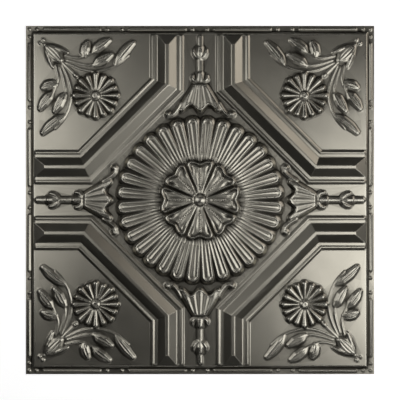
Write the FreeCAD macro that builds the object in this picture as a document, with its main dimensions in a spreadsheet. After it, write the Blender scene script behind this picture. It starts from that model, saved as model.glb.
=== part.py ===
"""Pressed tin ceiling tile: one square of thin steel sheet, stamped face up.

The face has a fluted medallion with a rosette in the middle, a bent ridge moulding
that frames each corner, a daisy with leaf sprays in each corner panel, a pendant flower
on each side, and a flat nail rail with beads and buttons all round.

The pattern is the same in eight wedges of 45 degrees. One wedge is modelled as the solid
form that the sheet is pressed over. The sheet is what lies between that form and the same
form lowered by the sheet's thickness. The wedge is then mirrored and turned round the centre.

Frame: origin at the centre of the underside of the nail rail, +Z towards the face.
"""

import FreeCAD, Part

import os

import Sketcher

SIZES = [
    # nail rail and field
    ("module", 609.6, "bead line to bead line, the 24 inch pitch at which tiles are laid"),
    ("lip", 6.35, "bead line to the trimmed edge, a quarter of an inch"),
    ("sheet_thickness", 0.3, "30 gauge tin plate, measured along Z"),
    ("rail_inset", 5.3, "bead line to the foot of the field's wall"),
    ("field_rise", 3.5, "field above the rail"),
    ("field_draft", 50, "field's wall from the vertical, in degrees"),
    # beads and buttons on the rail
    ("bead_length", 106, "over the pointed ends"),
    ("bead_width", 4.6, "at the foot"),
    ("bead_height", 1.3, "above the rail"),
    ("bead_draft", 40, "walls of beads and buttons, in degrees"),
    ("button_pair", 26.2, "between the two buttons of a pair"),
    ("button_diameter", 4.6, "at the foot"),
    ("button_height", 1.3, "above the rail"),
    # bent ridge moulding round each corner panel
    ("arm_offset", 58.5, "centre line of an arm from the tile's centre line"),
    ("diagonal_offset", 186, "centre line of the slanting run from the tile's centre"),
    ("foot_half_width", 29.25, "half of the moulding's whole width"),
    ("foot_height", 1.8, "first step above the field"),
    ("fillet_half_width", 22.6, "half width at the second step"),
    ("fillet_height", 1.0, "second step above the first"),
    ("step_draft", 45, "walls of both steps, in degrees"),
    ("ridge_half_width", 18, "half width at the ridge's foot"),
    ("ridge_top_half_width", 3.8, "half width of the flat on top"),
    ("ridge_height", 10.5, "ridge above the second step"),
    ("moulding_end", 1.2, "moulding's end from the top of the field's wall"),
    # medallion
    ("flutes_per_wedge", 4, "32 flutes all round"),
    ("dome_radius", 82, "where the flutes' crests are level with the crown"),
    ("dome_height", 11, "crown above the field"),
    ("crown_overlap", 3, "flat crown between the flutes' inner ends"),
    ("flute_tip_radius", 146, "tip of a flute's crest from the centre"),
    ("flute_root_radius", 75, "inner end of a flute"),
    ("flute_gap", 5.6, "between the crests of neighbours at their round ends"),
    ("flute_slope", 4.2, "fall of the crests towards the tips, in degrees"),
    ("flute_draft", 38, "walls of a flute, in degrees"),
    ("scoop_lip", 2.6, "border left round the hollow in a flute's crest"),
    ("scoop_depth", 1.0, "depth of the hollow"),
    ("scoop_draft", 55, "walls of the hollow, in degrees"),
    # rosette on the crown
    ("petal_root_radius", 13, "inner end of a petal"),
    ("petal_root_half_width", 5.2, "half width at the inner end"),
    ("petal_shoulder_radius", 62, "widest place, from the centre"),
    ("petal_shoulder_half_width", 23, "half width there"),
    ("petal_cheek_radius", 70, "outer corner of a lobe, from the centre"),
    ("petal_cheek_half_width", 18.5, "the same corner, from the petal's middle"),
    ("petal_lobe_radius", 73, "outermost point of a lobe, from the centre"),
    ("petal_lobe_offset", 12, "outermost point of a lobe, from the petal's middle"),
    ("petal_notch_radius", 70, "notch between the two lobes, from the centre"),
    ("petal_height", 3.2, "above the crown"),
    ("petal_draft", 40, "degrees"),
    ("boss_diameter", 22, "button in the middle of the rosette"),
    ("boss_height", 4.6, "above the crown"),
    ("boss_draft", 45, "degrees"),
    # daisy in each corner panel
    ("daisy_offset", 186, "centre from both of the tile's centre lines"),
    ("daisy_steps", 8, "petals in half a turn"),
    ("daisy_root_radius", 7, "pointed inner end of a petal, under the eye"),
    ("daisy_shoulder_radius", 35.5, "widest place, from the daisy's centre"),
    ("daisy_shoulder_half_width", 6.5, "half width there"),
    ("daisy_tip_radius", 44, "tip of a petal, from the daisy's centre"),
    ("daisy_tip_half_width", 3.4, "half width of the blunt tip"),
    ("daisy_height", 2.6, "petals above the panel"),
    ("daisy_draft", 38, "degrees"),
    ("daisy_eye_diameter", 21, "button in the middle of the daisy"),
    ("daisy_eye_height", 4.2, "above the panel"),
    # leaves and stems
    ("leaf_height", 2.4, "above the panel"),
    ("stem_height", 1.7, "above the panel"),
    ("leaf_draft", 42, "degrees"),
    # pendant flower on each side
    ("shaft_half_width", 4.4, "half width of the shaft at its foot"),
    ("shaft_height", 2.6, "above the field"),
    ("bell_top", 207, "narrow end of the bell, from the tile's centre"),
    ("bell_top_half_width", 9.5, "half width there"),
    ("bell_side", 180, "middle of the bell's side, from the tile's centre"),
    ("bell_side_half_width", 17.5, "half width there"),
    ("bell_mouth", 163, "wide end of the bell, from the tile's centre"),
    ("bell_mouth_half_width", 34, "half width there"),
    ("bell_lip", 157.5, "middle of the mouth, from the tile's centre"),
    ("bell_height", 4.0, "above the field"),
    ("bell_draft", 40, "degrees"),
    ("volute_place", 152.5, "button at the tip of the scroll, from the tile's centre"),
    ("volute_spread", 53.5, "the same button, from the pendant's middle"),
    ("volute_diameter", 11, "at the foot"),
    ("volute_height", 3.0, "above the field"),
    # building aids that leave no trace on the tile
    ("form_depth", 16, "solid form below the rail"),
    ("form_margin", 30, "solid form beyond the wedge on every side"),
]

# Leaves and stems on the field: base, tip, bend of the middle line and half width.
# They lie in the wedge between +X and the diagonal. Places are from the tile's centre.
STRIPS = {
    "upper_branch": (259.0, 243.0, 271.0, 174.0, -11.0, 3.0),
    "lower_branch": (251.0, 245.0, 253.0, 138.0, -19.0, 3.0),
    "upper_leaf_near": (254.0, 207.0, 280.0, 199.0, 0.0, 6.4),
    "upper_leaf_far": (261.0, 185.0, 288.0, 163.0, 0.0, 7.0),
    "lower_leaf_near": (236.0, 178.0, 262.0, 156.0, 0.0, 6.0),
    "lower_leaf_far": (248.0, 143.0, 283.0, 118.0, 0.0, 7.4),
    "daisy_stem": (262.0, 262.0, 212.0, 212.0, 0.0, 3.2),
    "knot": (247.0, 247.0, 274.0, 274.0, 0.0, 10.0),
    "stalk_end": (273.0, 273.0, 290.0, 290.0, 0.0, 6.0),
    "shaft_bud_outer": (249.0, 1.0, 277.0, 16.5, 0.0, 5.0),
    "shaft_bud_inner": (211.0, 1.0, 228.0, 17.0, 0.0, 5.4),
    "scroll": (178.0, 24.0, 155.0, 57.0, 0.0, 5.2),
}
STRIP_CELLS = ("base_x", "base_y", "tip_x", "tip_y", "bend", "half_width")

LEAVES = ("upper_leaf_near", "upper_leaf_far", "lower_leaf_near", "lower_leaf_far", "knot")
BUDS = ("stalk_end", "shaft_bud_outer", "shaft_bud_inner", "scroll")
STEMS = ("upper_branch", "lower_branch", "daisy_stem")
# Stations of an outline: share of the length, of the bend and of the half width.
LEAF_SHAPE = ((0, 0, 0), (0.3, 0.8, 0.85), (0.6, 1, 1), (1, 0, 0))
BUD_SHAPE = ((0, 0, 0), (0.5, 1, 1), (1, 0, 0))
STEM_SHAPE = ((0, 0, 1), (0.5, 1, 1), (1, 0, 1))

FULL_TURN = 360
WEDGES = 8
WEDGE = FULL_TURN / WEDGES
BUTTON_SIDES = 4
STUD_SIDES = 8
FLUTE_END_TURNS = (-90, -30, 30, 90)
SCOOP_END_TURNS = (-90, 0, 90)

# Levels and lengths worked out from the sheet.
RAIL = "Sizes.sheet_thickness"
FIELD = f"({RAIL} + Sizes.field_rise)"
CROWN = f"({FIELD} + Sizes.dome_height)"
BEAD_LINE = "(Sizes.module / 2)"
EDGE = f"({BEAD_LINE} + Sizes.lip)"
WALL_FOOT = f"({BEAD_LINE} - Sizes.rail_inset)"
WALL_TOP = f"({WALL_FOOT} - Sizes.field_rise * tan(Sizes.field_draft))"
FLUTE_PITCH = f"({WEDGE} / round(Sizes.flutes_per_wedge))"

NODE = "ceiling_tile"
NEAR = 1e-6
START, END = 1, 2


def make_sizes(doc):
    """The sheet of driving dimensions: name, number and meaning in each row."""
    sheet = doc.addObject("Spreadsheet::Sheet", "Sizes")
    rows = list(SIZES)
    for name, numbers in STRIPS.items():
        for cell, number in zip(STRIP_CELLS, numbers):
            rows.append((f"{name}_{cell}", number, "leaf or stem"))
    for row, (name, number, meaning) in enumerate(rows, start=1):
        sheet.set(f"A{row}", name)
        sheet.set(f"B{row}", str(number))
        sheet.setAlias(f"B{row}", name)
        sheet.set(f"C{row}", meaning)
    doc.recompute()
    return sheet


class Press:
    """The document, its sheet of sizes, and the relief bodies that make up the solid form."""

    def __init__(self, doc, sheet):
        self.doc = doc
        self.sheet = sheet
        self.relief = []

    def number(self, expression):
        """The value of an expression over the sheet's cells."""
        return float(self.sheet.evalExpression(str(expression)))

    def pin(self, sketch, geometry, point, x, y):
        """Holds a point of a sketch at two expressions."""
        for kind, expression in (("DistanceX", x), ("DistanceY", y)):
            value = self.number(expression)
            held = sketch.addConstraint(Sketcher.Constraint(kind, -1, 1, geometry, point, value))
            sketch.setExpression(f"Constraints[{held}]", str(expression))

    def outline(self, sketch, corners):
        """Draws a closed outline of straight edges, each corner held at its expressions."""
        spots = [FreeCAD.Vector(self.number(x), self.number(y), 0) for x, y in corners]
        edges = []
        for spot, following in zip(spots, spots[1:] + spots[:1]):
            edges.append(sketch.addGeometry(Part.LineSegment(spot, following), False))
        for edge, following, (x, y) in zip(edges, edges[1:] + edges[:1], corners):
            sketch.addConstraint(Sketcher.Constraint("Coincident", edge, END, following, START))
            self.pin(sketch, edge, START, x, y)

    def sketch_in(self, body, name, place, corners):
        """A sketch on the body's XY plane, moved to a placement expression."""
        plane = next(f for f in body.Origin.OriginFeatures if f.Role == "XY_Plane")
        sketch = body.newObject("Sketcher::SketchObject", name)
        sketch.AttachmentSupport = (plane, [""])
        sketch.MapMode = "FlatFace"
        sketch.setExpression("AttachmentOffset", place)
        self.outline(sketch, corners)
        return sketch

    def lean(self, body, feature, sketch, draft):
        """Leans the upright walls of a feature by a draft, about the sketch's own plane."""
        self.doc.recompute()
        base = sketch.Placement.Base
        normal = sketch.Placement.Rotation.multVec(FreeCAD.Vector(0, 0, 1))
        walls, neutral = [], None
        for number, face in enumerate(feature.Shape.Faces, start=1):
            u_low, u_high, v_low, v_high = face.ParameterRange
            facing = face.normalAt((u_low + u_high) / 2, (v_low + v_high) / 2)
            if abs(facing.dot(normal)) < NEAR:
                walls.append(f"Face{number}")
            elif all(abs((v.Point - base).dot(normal)) < NEAR for v in face.Vertexes):
                neutral = f"Face{number}"
        leaning = body.newObject("PartDesign::Draft", f"{feature.Name}_draft")
        leaning.Base = (feature, walls)
        leaning.NeutralPlane = (feature, [neutral])
        leaning.setExpression("Angle", str(draft))
        return leaning

    def raised(self, name, level, corners, height, draft):
        """A body of its own: an outline at a level, raised with walls that lean inwards."""
        body = self.doc.addObject("PartDesign::Body", name)
        sketch = self.sketch_in(body, f"{name}_outline", at(level), corners)
        pad = body.newObject("PartDesign::Pad", f"{name}_pad")
        pad.Profile = sketch
        pad.setExpression("Length", str(height))
        self.lean(body, pad, sketch, draft)
        return body

    def stud(self, name, level, diameter, height, draft):
        """A faceted button at the origin."""
        corners = ring(f"{diameter} / 2", STUD_SIDES, WEDGE / 2)
        return self.raised(name, level, corners, height, draft)

    def keep(self, *objects):
        """Adds objects, where they stand, to the solid form."""
        self.relief.extend(objects)

    def copy(self, original, number, place):
        """Adds a copy of an object, at a placement expression, to the solid form."""
        link = self.doc.addObject("App::Link", f"{original.Name}_{number}")
        link.LinkedObject = original
        link.LinkTransform = False
        link.setExpression("Placement", place)
        self.relief.append(link)


def at(level, yaw="0", pitch="0", x="0", y="0"):
    """A placement expression: a place and two turns, in degrees."""
    return f"placement(vector({x}; {y}; {level}); rotation({yaw}; {pitch}; 0))"


def ring(reach, sides, turn):
    """Corners of a regular outline round the origin, the first of them at a turn."""
    turns = [turn + FULL_TURN / sides * step for step in range(sides)]
    return [(f"{reach} * cos({t})", f"{reach} * sin({t})") for t in turns]


def strip(name, along):
    """An outline either side of a line from a base to a tip. The list says how far along the
    line each pair of corners stands, its shares of the bend and of the half width."""
    cell = {c: f"Sizes.{name}_{c}" for c in STRIP_CELLS}
    run_x = f"({cell['tip_x']} - {cell['base_x']})"
    run_y = f"({cell['tip_y']} - {cell['base_y']})"
    run = f"sqrt({run_x}^2 + {run_y}^2)"

    def corner(share, bend, width):
        reach = f"({cell['bend']} * {bend} + {cell['half_width']} * {width})"
        x = f"{cell['base_x']} + {run_x} * {share} - {run_y} / {run} * {reach}"
        y = f"{cell['base_y']} + {run_y} * {share} + {run_x} / {run} * {reach}"
        return x, y

    right = [corner(share, bend, -width) for share, bend, width in along]
    left = [corner(share, bend, width) for share, bend, width in reversed(along) if width]
    return right + left


def bent_bar(half_width, end):
    """Outline of the moulding's bent bar: two arms and the slanting run, mitred."""
    inner = f"(Sizes.arm_offset - {half_width})"
    outer = f"(Sizes.arm_offset + {half_width})"
    inner_bend = f"(sqrt(2) * (Sizes.diagonal_offset - {half_width}) - {inner})"
    outer_bend = f"(sqrt(2) * (Sizes.diagonal_offset + {half_width}) - {outer})"
    return [
        (end, inner),
        (end, outer),
        (outer_bend, outer),
        (outer, outer_bend),
        (outer, end),
        (inner, end),
        (inner, inner_bend),
        (inner_bend, inner),
    ]


def add_rail_and_field(press):
    """The flat rail, the raised field, and the beads and buttons on the rail."""
    low = "-Sizes.form_margin"
    slab = press.doc.addObject("Part::Box", "rail")
    for side in ("Length", "Width"):
        slab.setExpression(side, f"{EDGE} + 2 * Sizes.form_margin")
    slab.setExpression("Height", f"{RAIL} + Sizes.form_depth")
    slab.setExpression("Placement", at("-Sizes.form_depth", x=low, y=low))
    corners = [(low, low), (WALL_FOOT, low), (WALL_FOOT, WALL_FOOT), (low, WALL_FOOT)]
    field = press.raised("field", RAIL, corners, "Sizes.field_rise", "Sizes.field_draft")
    press.keep(slab, field)

    half = "Sizes.bead_width / 2"
    top = "Sizes.bead_length / 2"
    shoulder = f"({top} - {half})"
    right = [(half, f"-{shoulder}"), (half, shoulder), ("0", top)]
    left = [(f"-{half}", shoulder), (f"-{half}", f"-{shoulder}"), ("0", f"-{top}")]
    bead = press.raised("bead", RAIL, right + left, "Sizes.bead_height", "Sizes.bead_draft")
    for number, pitches in enumerate((0.5, 1.5)):
        press.copy(bead, number, at("0", x=BEAD_LINE, y=f"Sizes.module / 4 * {pitches}"))

    corners = ring("Sizes.button_diameter / 2", BUTTON_SIDES, WEDGE)
    button = press.raised("button", RAIL, corners, "Sizes.button_height", "Sizes.bead_draft")
    press.copy(button, 0, at("0", x=BEAD_LINE, y=BEAD_LINE))
    for number, (pitches, side) in enumerate(((0, "+"), (1, "-"), (1, "+"), (2, "-")), start=1):
        place = f"Sizes.module / 4 * {pitches} {side} Sizes.button_pair / 2"
        press.copy(button, number, at("0", x=BEAD_LINE, y=place))


def add_moulding(press):
    """The corner panel's frame: two low steps and a tall ridge with hipped ends."""
    end = f"({WALL_TOP} - Sizes.moulding_end)"
    step_run = "Sizes.foot_half_width - Sizes.fillet_half_width"
    ridge_run = "Sizes.foot_half_width - Sizes.ridge_half_width"
    first = f"({FIELD} + Sizes.foot_height)"
    second = f"({first} + Sizes.fillet_height)"
    foot = bent_bar("Sizes.foot_half_width", end)
    fillet = bent_bar("Sizes.fillet_half_width", f"({end} - ({step_run}))")
    ridge = bent_bar("Sizes.ridge_half_width", f"({end} - ({ridge_run}))")
    lean = "atan((Sizes.ridge_half_width - Sizes.ridge_top_half_width) / Sizes.ridge_height)"
    press.keep(
        press.raised("moulding_foot", FIELD, foot, "Sizes.foot_height", "Sizes.step_draft"),
        press.raised("moulding_fillet", first, fillet, "Sizes.fillet_height", "Sizes.step_draft"),
        press.raised("moulding_ridge", second, ridge, "Sizes.ridge_height", lean),
    )


def add_medallion(press):
    """The crown, and the ring of flutes that fall away from it, each with a hollow crest."""
    flutes = round(press.number("Sizes.flutes_per_wedge"))
    edge = "Sizes.flute_root_radius + Sizes.crown_overlap"
    foot = f"({edge} + Sizes.dome_height * tan(Sizes.flute_draft)) / cos({FLUTE_PITCH} / 2)"
    corners = ring(foot, WEDGES * flutes, WEDGE / flutes / 2)
    press.keep(press.raised("crown", FIELD, corners, "Sizes.dome_height", "Sizes.flute_draft"))

    root, tip = "Sizes.flute_root_radius", "Sizes.flute_tip_radius"
    root_half = f"({root} * tan({FLUTE_PITCH} / 2))"
    swing = f"sin({FLUTE_PITCH} / 2)"
    end_radius = f"(({tip} * {swing} - Sizes.flute_gap / 2) / (1 + {swing}))"
    end_centre = f"({tip} - {end_radius})"

    def flute_outline(inset, turns):
        half = f"({end_radius} - {inset})"
        inner = [
            (f"{root} + {inset}", f"{root_half} - {inset}"),
            (f"{root} + {inset}", f"-({root_half} - {inset})"),
        ]
        return inner + [(f"{end_centre} + {half} * cos({t})", f"{half} * sin({t})") for t in turns]

    apex = f"({CROWN} + Sizes.dome_radius * tan(Sizes.flute_slope))"
    crest = at(apex, pitch="Sizes.flute_slope")
    flute = press.doc.addObject("PartDesign::Body", "flute")
    corners = flute_outline("0", FLUTE_END_TURNS)
    outside = press.sketch_in(flute, "flute_outline", crest, corners)
    pad = flute.newObject("PartDesign::Pad", "flute_pad")
    pad.Profile = outside
    pad.Reversed = True
    pad.setExpression("Length", CROWN)
    press.lean(flute, pad, outside, "Sizes.flute_draft")
    corners = flute_outline("Sizes.scoop_lip", SCOOP_END_TURNS)
    inside = press.sketch_in(flute, "scoop_outline", crest, corners)
    hollow = flute.newObject("PartDesign::Pocket", "scoop")
    hollow.Profile = inside
    hollow.setExpression("Length", "Sizes.scoop_depth")
    press.lean(flute, hollow, inside, "Sizes.scoop_draft")
    for number in range(flutes):
        press.copy(flute, number, at("0", yaw=f"{FLUTE_PITCH} * {number + 0.5}"))


def add_rosette(press):
    """Two of the eight petals, each with two lobes, and the boss in the middle."""
    side = [
        ("Sizes.petal_lobe_radius", "Sizes.petal_lobe_offset"),
        ("Sizes.petal_cheek_radius", "Sizes.petal_cheek_half_width"),
        ("Sizes.petal_shoulder_radius", "Sizes.petal_shoulder_half_width"),
        ("Sizes.petal_root_radius", "Sizes.petal_root_half_width"),
    ]
    notch = [("Sizes.petal_notch_radius", "0")]
    corners = notch + side + [(x, f"-{y}") for x, y in reversed(side)]
    petal = press.raised("petal", CROWN, corners, "Sizes.petal_height", "Sizes.petal_draft")
    press.copy(petal, 0, at("0"))
    press.copy(petal, 1, at("0", yaw=WEDGE))
    size = ("Sizes.boss_diameter", "Sizes.boss_height", "Sizes.boss_draft")
    press.keep(press.stud("boss", CROWN, *size))


def add_daisy(press):
    """Half of the corner panel's daisy: petals from the near side of the diagonal round to
    the far side, and the eye."""
    place = "Sizes.daisy_offset"
    shoulder, shoulder_half = "Sizes.daisy_shoulder_radius", "Sizes.daisy_shoulder_half_width"
    tip, tip_half = "Sizes.daisy_tip_radius", "Sizes.daisy_tip_half_width"
    right = [("Sizes.daisy_root_radius", "0"), (shoulder, f"-{shoulder_half}"), (tip, f"-{tip_half}")]
    left = [(tip, tip_half), (shoulder, shoulder_half)]
    size = ("Sizes.daisy_height", "Sizes.daisy_draft")
    petal = press.raised("daisy_petal", FIELD, right + left, *size)
    steps = round(press.number("Sizes.daisy_steps"))
    for number in range(steps + 1):
        yaw = f"{WEDGE} - {FULL_TURN} / 2 + {FULL_TURN} / 2 / {steps} * {number}"
        press.copy(petal, number, at("0", yaw=yaw, x=place, y=place))
    size = ("Sizes.daisy_eye_diameter", "Sizes.daisy_eye_height", "Sizes.daisy_draft")
    eye = press.stud("daisy_eye", FIELD, *size)
    press.copy(eye, 0, at("0", x=place, y=place))


def add_sprays(press):
    """Stems and leaves beside the daisy, and the buds and scroll of the pendant."""
    kinds = (
        (STEMS, STEM_SHAPE, "Sizes.stem_height"),
        (LEAVES, LEAF_SHAPE, "Sizes.leaf_height"),
        (BUDS, BUD_SHAPE, "Sizes.leaf_height"),
    )
    for names, shape, height in kinds:
        for name in names:
            press.keep(press.raised(name, FIELD, strip(name, shape), height, "Sizes.leaf_draft"))


def add_pendant(press):
    """Half of the flower on the tile's side: a shaft, a bell and a scroll's button."""
    half = "Sizes.shaft_half_width"
    end = f"({WALL_TOP} - Sizes.moulding_end)"
    foot = "Sizes.bell_side"
    corners = [(foot, f"-{half}"), (end, f"-{half}"), (end, half), (foot, half)]
    size = ("Sizes.shaft_height", "Sizes.leaf_draft")
    press.keep(press.raised("shaft", FIELD, corners, *size))
    right = [
        ("Sizes.bell_lip", "0"),
        ("Sizes.bell_mouth", "Sizes.bell_mouth_half_width"),
        ("Sizes.bell_side", "Sizes.bell_side_half_width"),
        ("Sizes.bell_top", "Sizes.bell_top_half_width"),
    ]
    left = [(x, f"-{y}") for x, y in reversed(right[1:])]
    press.keep(press.raised("bell", FIELD, right + left, "Sizes.bell_height", "Sizes.bell_draft"))
    size = ("Sizes.volute_diameter", "Sizes.volute_height", "Sizes.leaf_draft")
    volute = press.stud("volute", FIELD, *size)
    press.copy(volute, 0, at("0", x="Sizes.volute_place", y="Sizes.volute_spread"))


def press_sheet(press):
    """The wedge of pressed sheet: the form less the same form lowered, trimmed to 45 degrees."""
    doc = press.doc
    form = doc.addObject("Part::MultiFuse", "wedge_form")
    form.Shapes = press.relief
    form.Refine = False
    lowered = doc.addObject("App::Link", "lowered_form")
    lowered.LinkedObject = form
    lowered.LinkTransform = False
    lowered.setExpression("Placement.Base.z", "-Sizes.sheet_thickness")
    blank = doc.addObject("Part::Cut", "pressed_blank")
    blank.Base = form
    blank.Tool = lowered
    blank.Refine = False

    corners = doc.addObject("Sketcher::SketchObject", "wedge_outline")
    corners.setExpression("Placement.Base.z", "-Sizes.form_depth / 2")
    press.outline(corners, [("0", "0"), (EDGE, "0"), (EDGE, EDGE)])
    prism = doc.addObject("Part::Extrusion", "wedge_trim")
    prism.Base = corners
    prism.DirMode = "Normal"
    prism.Solid = True
    prism.setExpression("LengthFwd", f"2 * {CROWN} + Sizes.form_depth")
    wedge = doc.addObject("Part::Common", "wedge_sheet")
    wedge.Base = blank
    wedge.Tool = prism
    wedge.Refine = False
    return wedge


def complete_tile(doc, wedge):
    """Mirrors the wedge across the diagonal and turns the quarter round the centre."""
    mirrored = doc.addObject("Part::Mirroring", "mirrored_wedge")
    mirrored.Source = wedge
    mirrored.Base = FreeCAD.Vector(0, 0, 0)
    mirrored.Normal = FreeCAD.Vector(1, -1, 0)
    quarter = doc.addObject("Part::Fuse", "quarter_sheet")
    quarter.Base = wedge
    quarter.Tool = mirrored
    quarter.Refine = True
    quarters = [quarter]
    for turn in (90, 180, 270):
        copy = doc.addObject("App::Link", f"quarter_turned_{turn}")
        copy.LinkedObject = quarter
        copy.LinkTransform = False
        copy.Placement = FreeCAD.Placement(
            FreeCAD.Vector(0, 0, 0), FreeCAD.Rotation(FreeCAD.Vector(0, 0, 1), turn)
        )
        quarters.append(copy)
    tile = doc.addObject("Part::MultiFuse", NODE)
    tile.Label = NODE
    tile.Shapes = quarters
    tile.Refine = False
    return tile


def check(doc, tile):
    """Stops if any object failed or the tile isn't one valid solid."""
    failed = [o.Name for o in doc.Objects if {"Invalid", "Error"} & set(o.State)]
    if failed:
        raise RuntimeError(f"these objects failed: {failed}")
    shape = tile.Shape
    if shape.isNull() or not shape.isValid() or len(shape.Solids) != 1:
        raise RuntimeError(f"{tile.Label} is not one valid solid")


def main():
    doc = FreeCAD.newDocument("ceiling_tile")
    sheet = make_sizes(doc)
    press = Press(doc, sheet)
    add_rail_and_field(press)
    add_moulding(press)
    add_medallion(press)
    add_rosette(press)
    add_daisy(press)
    add_sprays(press)
    add_pendant(press)
    wedge = press_sheet(press)
    tile = complete_tile(doc, wedge)
    doc.recompute()
    check(doc, tile)
    os.makedirs("parts", exist_ok=True)
    tile.Shape.exportStep(f"parts/{tile.Label}.step")
    box = tile.Shape.BoundBox
    print(f"{tile.Label}: {len(tile.Shape.Faces)} faces, {tile.Shape.Volume:.0f} mm3, {box}")


main()
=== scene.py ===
"""Looks of a pressed tin ceiling tile: one sheet, stamped with traditional ornament.

One wedge of 45 degrees is shaped as a height map, in millimetres above the nail rail. It is
meshed finely where the relief bends and coarsely where it is flat, with the sheet's back below
its face. Geometry nodes mirror the wedge, turn it round the centre and join the whole.
"""

import logging
import math
from dataclasses import dataclass, field
from enum import Enum

import bpy
import numpy as np
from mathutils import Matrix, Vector


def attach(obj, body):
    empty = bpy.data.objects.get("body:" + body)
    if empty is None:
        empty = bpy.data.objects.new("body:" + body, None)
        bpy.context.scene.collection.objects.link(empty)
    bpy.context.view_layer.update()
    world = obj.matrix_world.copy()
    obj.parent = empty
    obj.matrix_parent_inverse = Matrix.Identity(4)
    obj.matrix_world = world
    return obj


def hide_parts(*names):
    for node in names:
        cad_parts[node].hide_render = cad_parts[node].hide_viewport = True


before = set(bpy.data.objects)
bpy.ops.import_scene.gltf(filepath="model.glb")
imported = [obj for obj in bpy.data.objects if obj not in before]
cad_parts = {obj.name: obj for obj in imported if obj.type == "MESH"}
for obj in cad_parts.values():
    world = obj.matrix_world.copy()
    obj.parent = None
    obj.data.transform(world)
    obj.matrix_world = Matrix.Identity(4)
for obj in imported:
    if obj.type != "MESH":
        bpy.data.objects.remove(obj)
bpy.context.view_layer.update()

LOG = logging.getLogger("ceiling_tile")
MM = 0.001
TINY = 1e-9
SOFTENING_REACH = 3.0

# Sections of buttons and strokes
WALL_SLOPE = 0.7
DOME_ROUNDNESS = 0.75
STROKE_ROUNDNESS = 0.8
REEDS = 5.0
REED_DEPTH = 0.12
LEAF_ACROSS = (-1.0, -0.5, -0.2, 0.12, 0.38, 0.62, 1.0)
LEAF_RISE = (1.0, 1.0, 0.58, 0.92, 0.56, 0.76, 0.6)

Array = np.ndarray
Colour = tuple[float, float, float]
# Values at the start and the end of a run
Span = tuple[float, float]
# Two distances from the tile's centre lines, a half width and a height
Spot = tuple[float, float, float, float]


class Crest(Enum):
    """How the top of a stroke of ornament is shaped."""

    ROUND = "round"
    LEAF = "leaf"
    REEDED = "reeded"


def smooth_step(low: float, high: float, value: Array) -> Array:
    """Rises smoothly from 0 at low to 1 at high, which may lie below low."""
    share = np.clip((value - low) / (high - low), 0.0, 1.0)
    return share * share * (3.0 - 2.0 * share)


def swell(distance: Array, spread: float) -> Array:
    """A soft swelling: 1 at its middle, and a little over a third at one spread from it."""
    return np.exp(-((distance / spread) ** 2))


def dome(distance: Array, radius: float, height: float) -> Array:
    """A round button.

    Args:
        distance: Distance from the button's centre.
        radius: Its radius at the foot.
        height: Its height.

    Returns:
        Height at each place.
    """
    share = np.clip(distance / radius, 0.0, 1.0)
    wall = WALL_SLOPE * np.maximum(radius - distance, 0.0)
    return np.minimum(height * (1.0 - share**2) ** DOME_ROUNDNESS, wall)


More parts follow.
